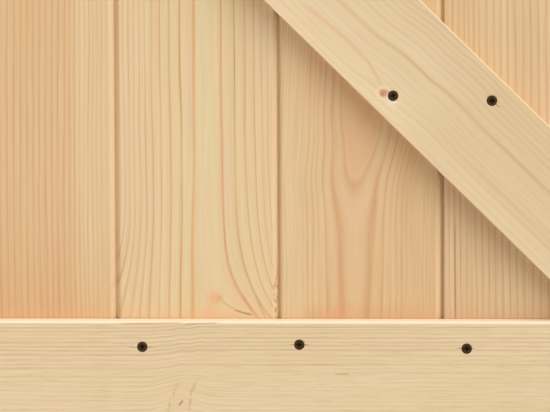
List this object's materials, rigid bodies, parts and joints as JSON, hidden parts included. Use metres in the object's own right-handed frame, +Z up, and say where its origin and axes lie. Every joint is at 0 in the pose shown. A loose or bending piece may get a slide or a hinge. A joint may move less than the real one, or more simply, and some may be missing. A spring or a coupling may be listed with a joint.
{
  "type": "barn door",
  "caption": "Sliding barn door of vertical tongued pine boards with rails and diagonal braces, hung by strap hangers and grooved wheels from a flat steel track.",
  "frame": {"origin": "on the floor, at the middle of the track's length and of the whole depth", "axes": "+X along the track towards the open end, +Y towards the wall, +Z up"},
  "size_m": [1.845, 0.0896, 2.2852],
  "materials": {
    "board_pine": "bare planed softwood with growth-ring figure",
    "rail_pine": "bare planed softwood, fine grain",
    "header_pine": "bare planed softwood",
    "black_screw": "black phosphate, satin",
    "black_steel": "black powder coat, fine texture",
    "black_nylon": "moulded nylon, matt",
    "bearing_steel": "ground bearing steel",
    "black_rubber": "soft matt rubber"
  },
  "bodies": {
    "frame": {"header_board": "header_pine", "track": "black_steel", "track_spacers": "black_steel", "track_screws": "black_steel", "end_stops": "black_steel", "stop_bumpers": "black_rubber", "stop_set_screws": "black_steel", "floor_guide": "black_steel"},
    "door": {"board_1": "board_pine", "board_2": "board_pine", "board_3": "board_pine", "board_4": "board_pine", "board_5": "board_pine", "board_6": "board_pine", "board_7": "board_pine", "board_8": "board_pine", "top_rail": "rail_pine", "middle_rail": "rail_pine", "bottom_rail": "rail_pine", "upper_brace": "rail_pine", "lower_brace": "rail_pine", "top_rail_screws": "black_screw", "middle_rail_screws": "black_screw", "bottom_rail_screws": "black_screw", "upper_brace_screws": "black_screw", "lower_brace_screws": "black_screw", "left_hanger_strap": "black_steel", "right_hanger_strap": "black_steel", "hanger_screws": "black_steel", "wheel_bearings": "bearing_steel", "axle_bolts": "black_steel", "axle_collars": "black_steel", "axle_nuts": "black_steel", "anti_jump_blocks": "black_nylon", "anti_jump_screws": "black_screw"},
    "left_wheel": {"left_wheel": "black_nylon"},
    "right_wheel": {"right_wheel": "black_nylon"}
  },
  "joints": [
    {"name": "door_slide", "type": "slide", "parent": "frame", "child": "door", "axis": [1, 0, 0], "range_m": [0, 0.84]},
    {"name": "left_wheel_spin", "type": "hinge", "parent": "door", "child": "left_wheel", "pos_m": [-0.75, -0.01825, 2.2402], "axis": [0, 1, 0], "continuous": true},
    {"name": "right_wheel_spin", "type": "hinge", "parent": "door", "child": "right_wheel", "pos_m": [-0.09, -0.01825, 2.2402], "axis": [0, 1, 0], "continuous": true}
  ],
  "couplings": [
    {"joint": "left_wheel_spin", "follows": "door_slide", "rad_per_m": 27.027},
    {"joint": "right_wheel_spin", "follows": "door_slide", "rad_per_m": 27.027}
  ]
}
